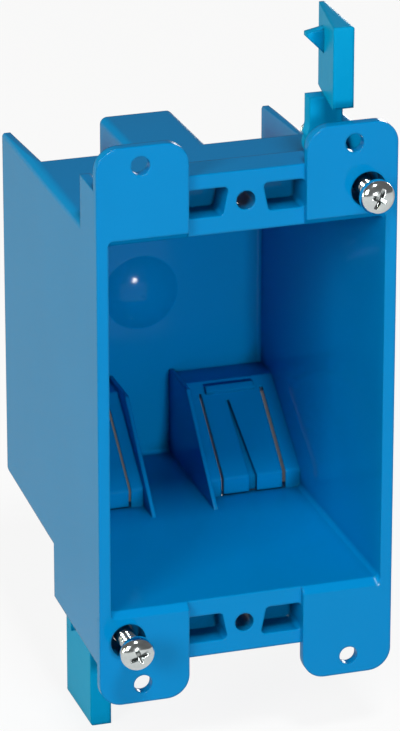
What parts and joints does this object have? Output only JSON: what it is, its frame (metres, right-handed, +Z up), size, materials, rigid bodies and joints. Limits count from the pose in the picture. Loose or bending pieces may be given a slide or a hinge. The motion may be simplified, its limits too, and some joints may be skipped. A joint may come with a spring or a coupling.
{
  "type": "drywall back box",
  "caption": "Single-gang moulded back box for an old-work wall opening, with corner ears, device rails, cable entries with clamp tongues and screw-driven swing clamps.",
  "frame": {"origin": "centre of the two device-screw holes, on the front of the device rails", "axes": "+X to the right, +Y into the wall towards the back of the box, +Z up"},
  "size_m": [0.0568, 0.0759, 0.1368],
  "materials": {
    "blue_plastic": "glossy moulded plastic",
    "blue_clamp_plastic": "glossy moulded plastic",
    "plated_steel": "bright zinc plating"
  },
  "bodies": {
    "box": {"box_body": "blue_plastic"},
    "upper_screw": {"upper_clamp_screw": "plated_steel"},
    "upper_clamp": {"upper_swing_clamp": "blue_clamp_plastic"},
    "lower_screw": {"lower_clamp_screw": "plated_steel"},
    "lower_clamp": {"lower_swing_clamp": "blue_clamp_plastic"}
  },
  "joints": [
    {"name": "upper_swing", "type": "hinge", "parent": "box", "child": "upper_screw", "pos_m": [0.0229, 0, 0.04167], "axis": [0, -1, 0], "range_deg": [0, 90]},
    {"name": "upper_draw", "type": "slide", "parent": "upper_screw", "child": "upper_clamp", "axis": [0, -1, 0], "range_m": [-0.01, 0.004]},
    {"name": "lower_swing", "type": "hinge", "parent": "box", "child": "lower_screw", "pos_m": [-0.0229, 0, -0.04167], "axis": [0, -1, 0], "range_deg": [0, 90]},
    {"name": "lower_draw", "type": "slide", "parent": "lower_screw", "child": "lower_clamp", "axis": [0, -1, 0], "range_m": [-0.003, 0.0115]}
  ]
}
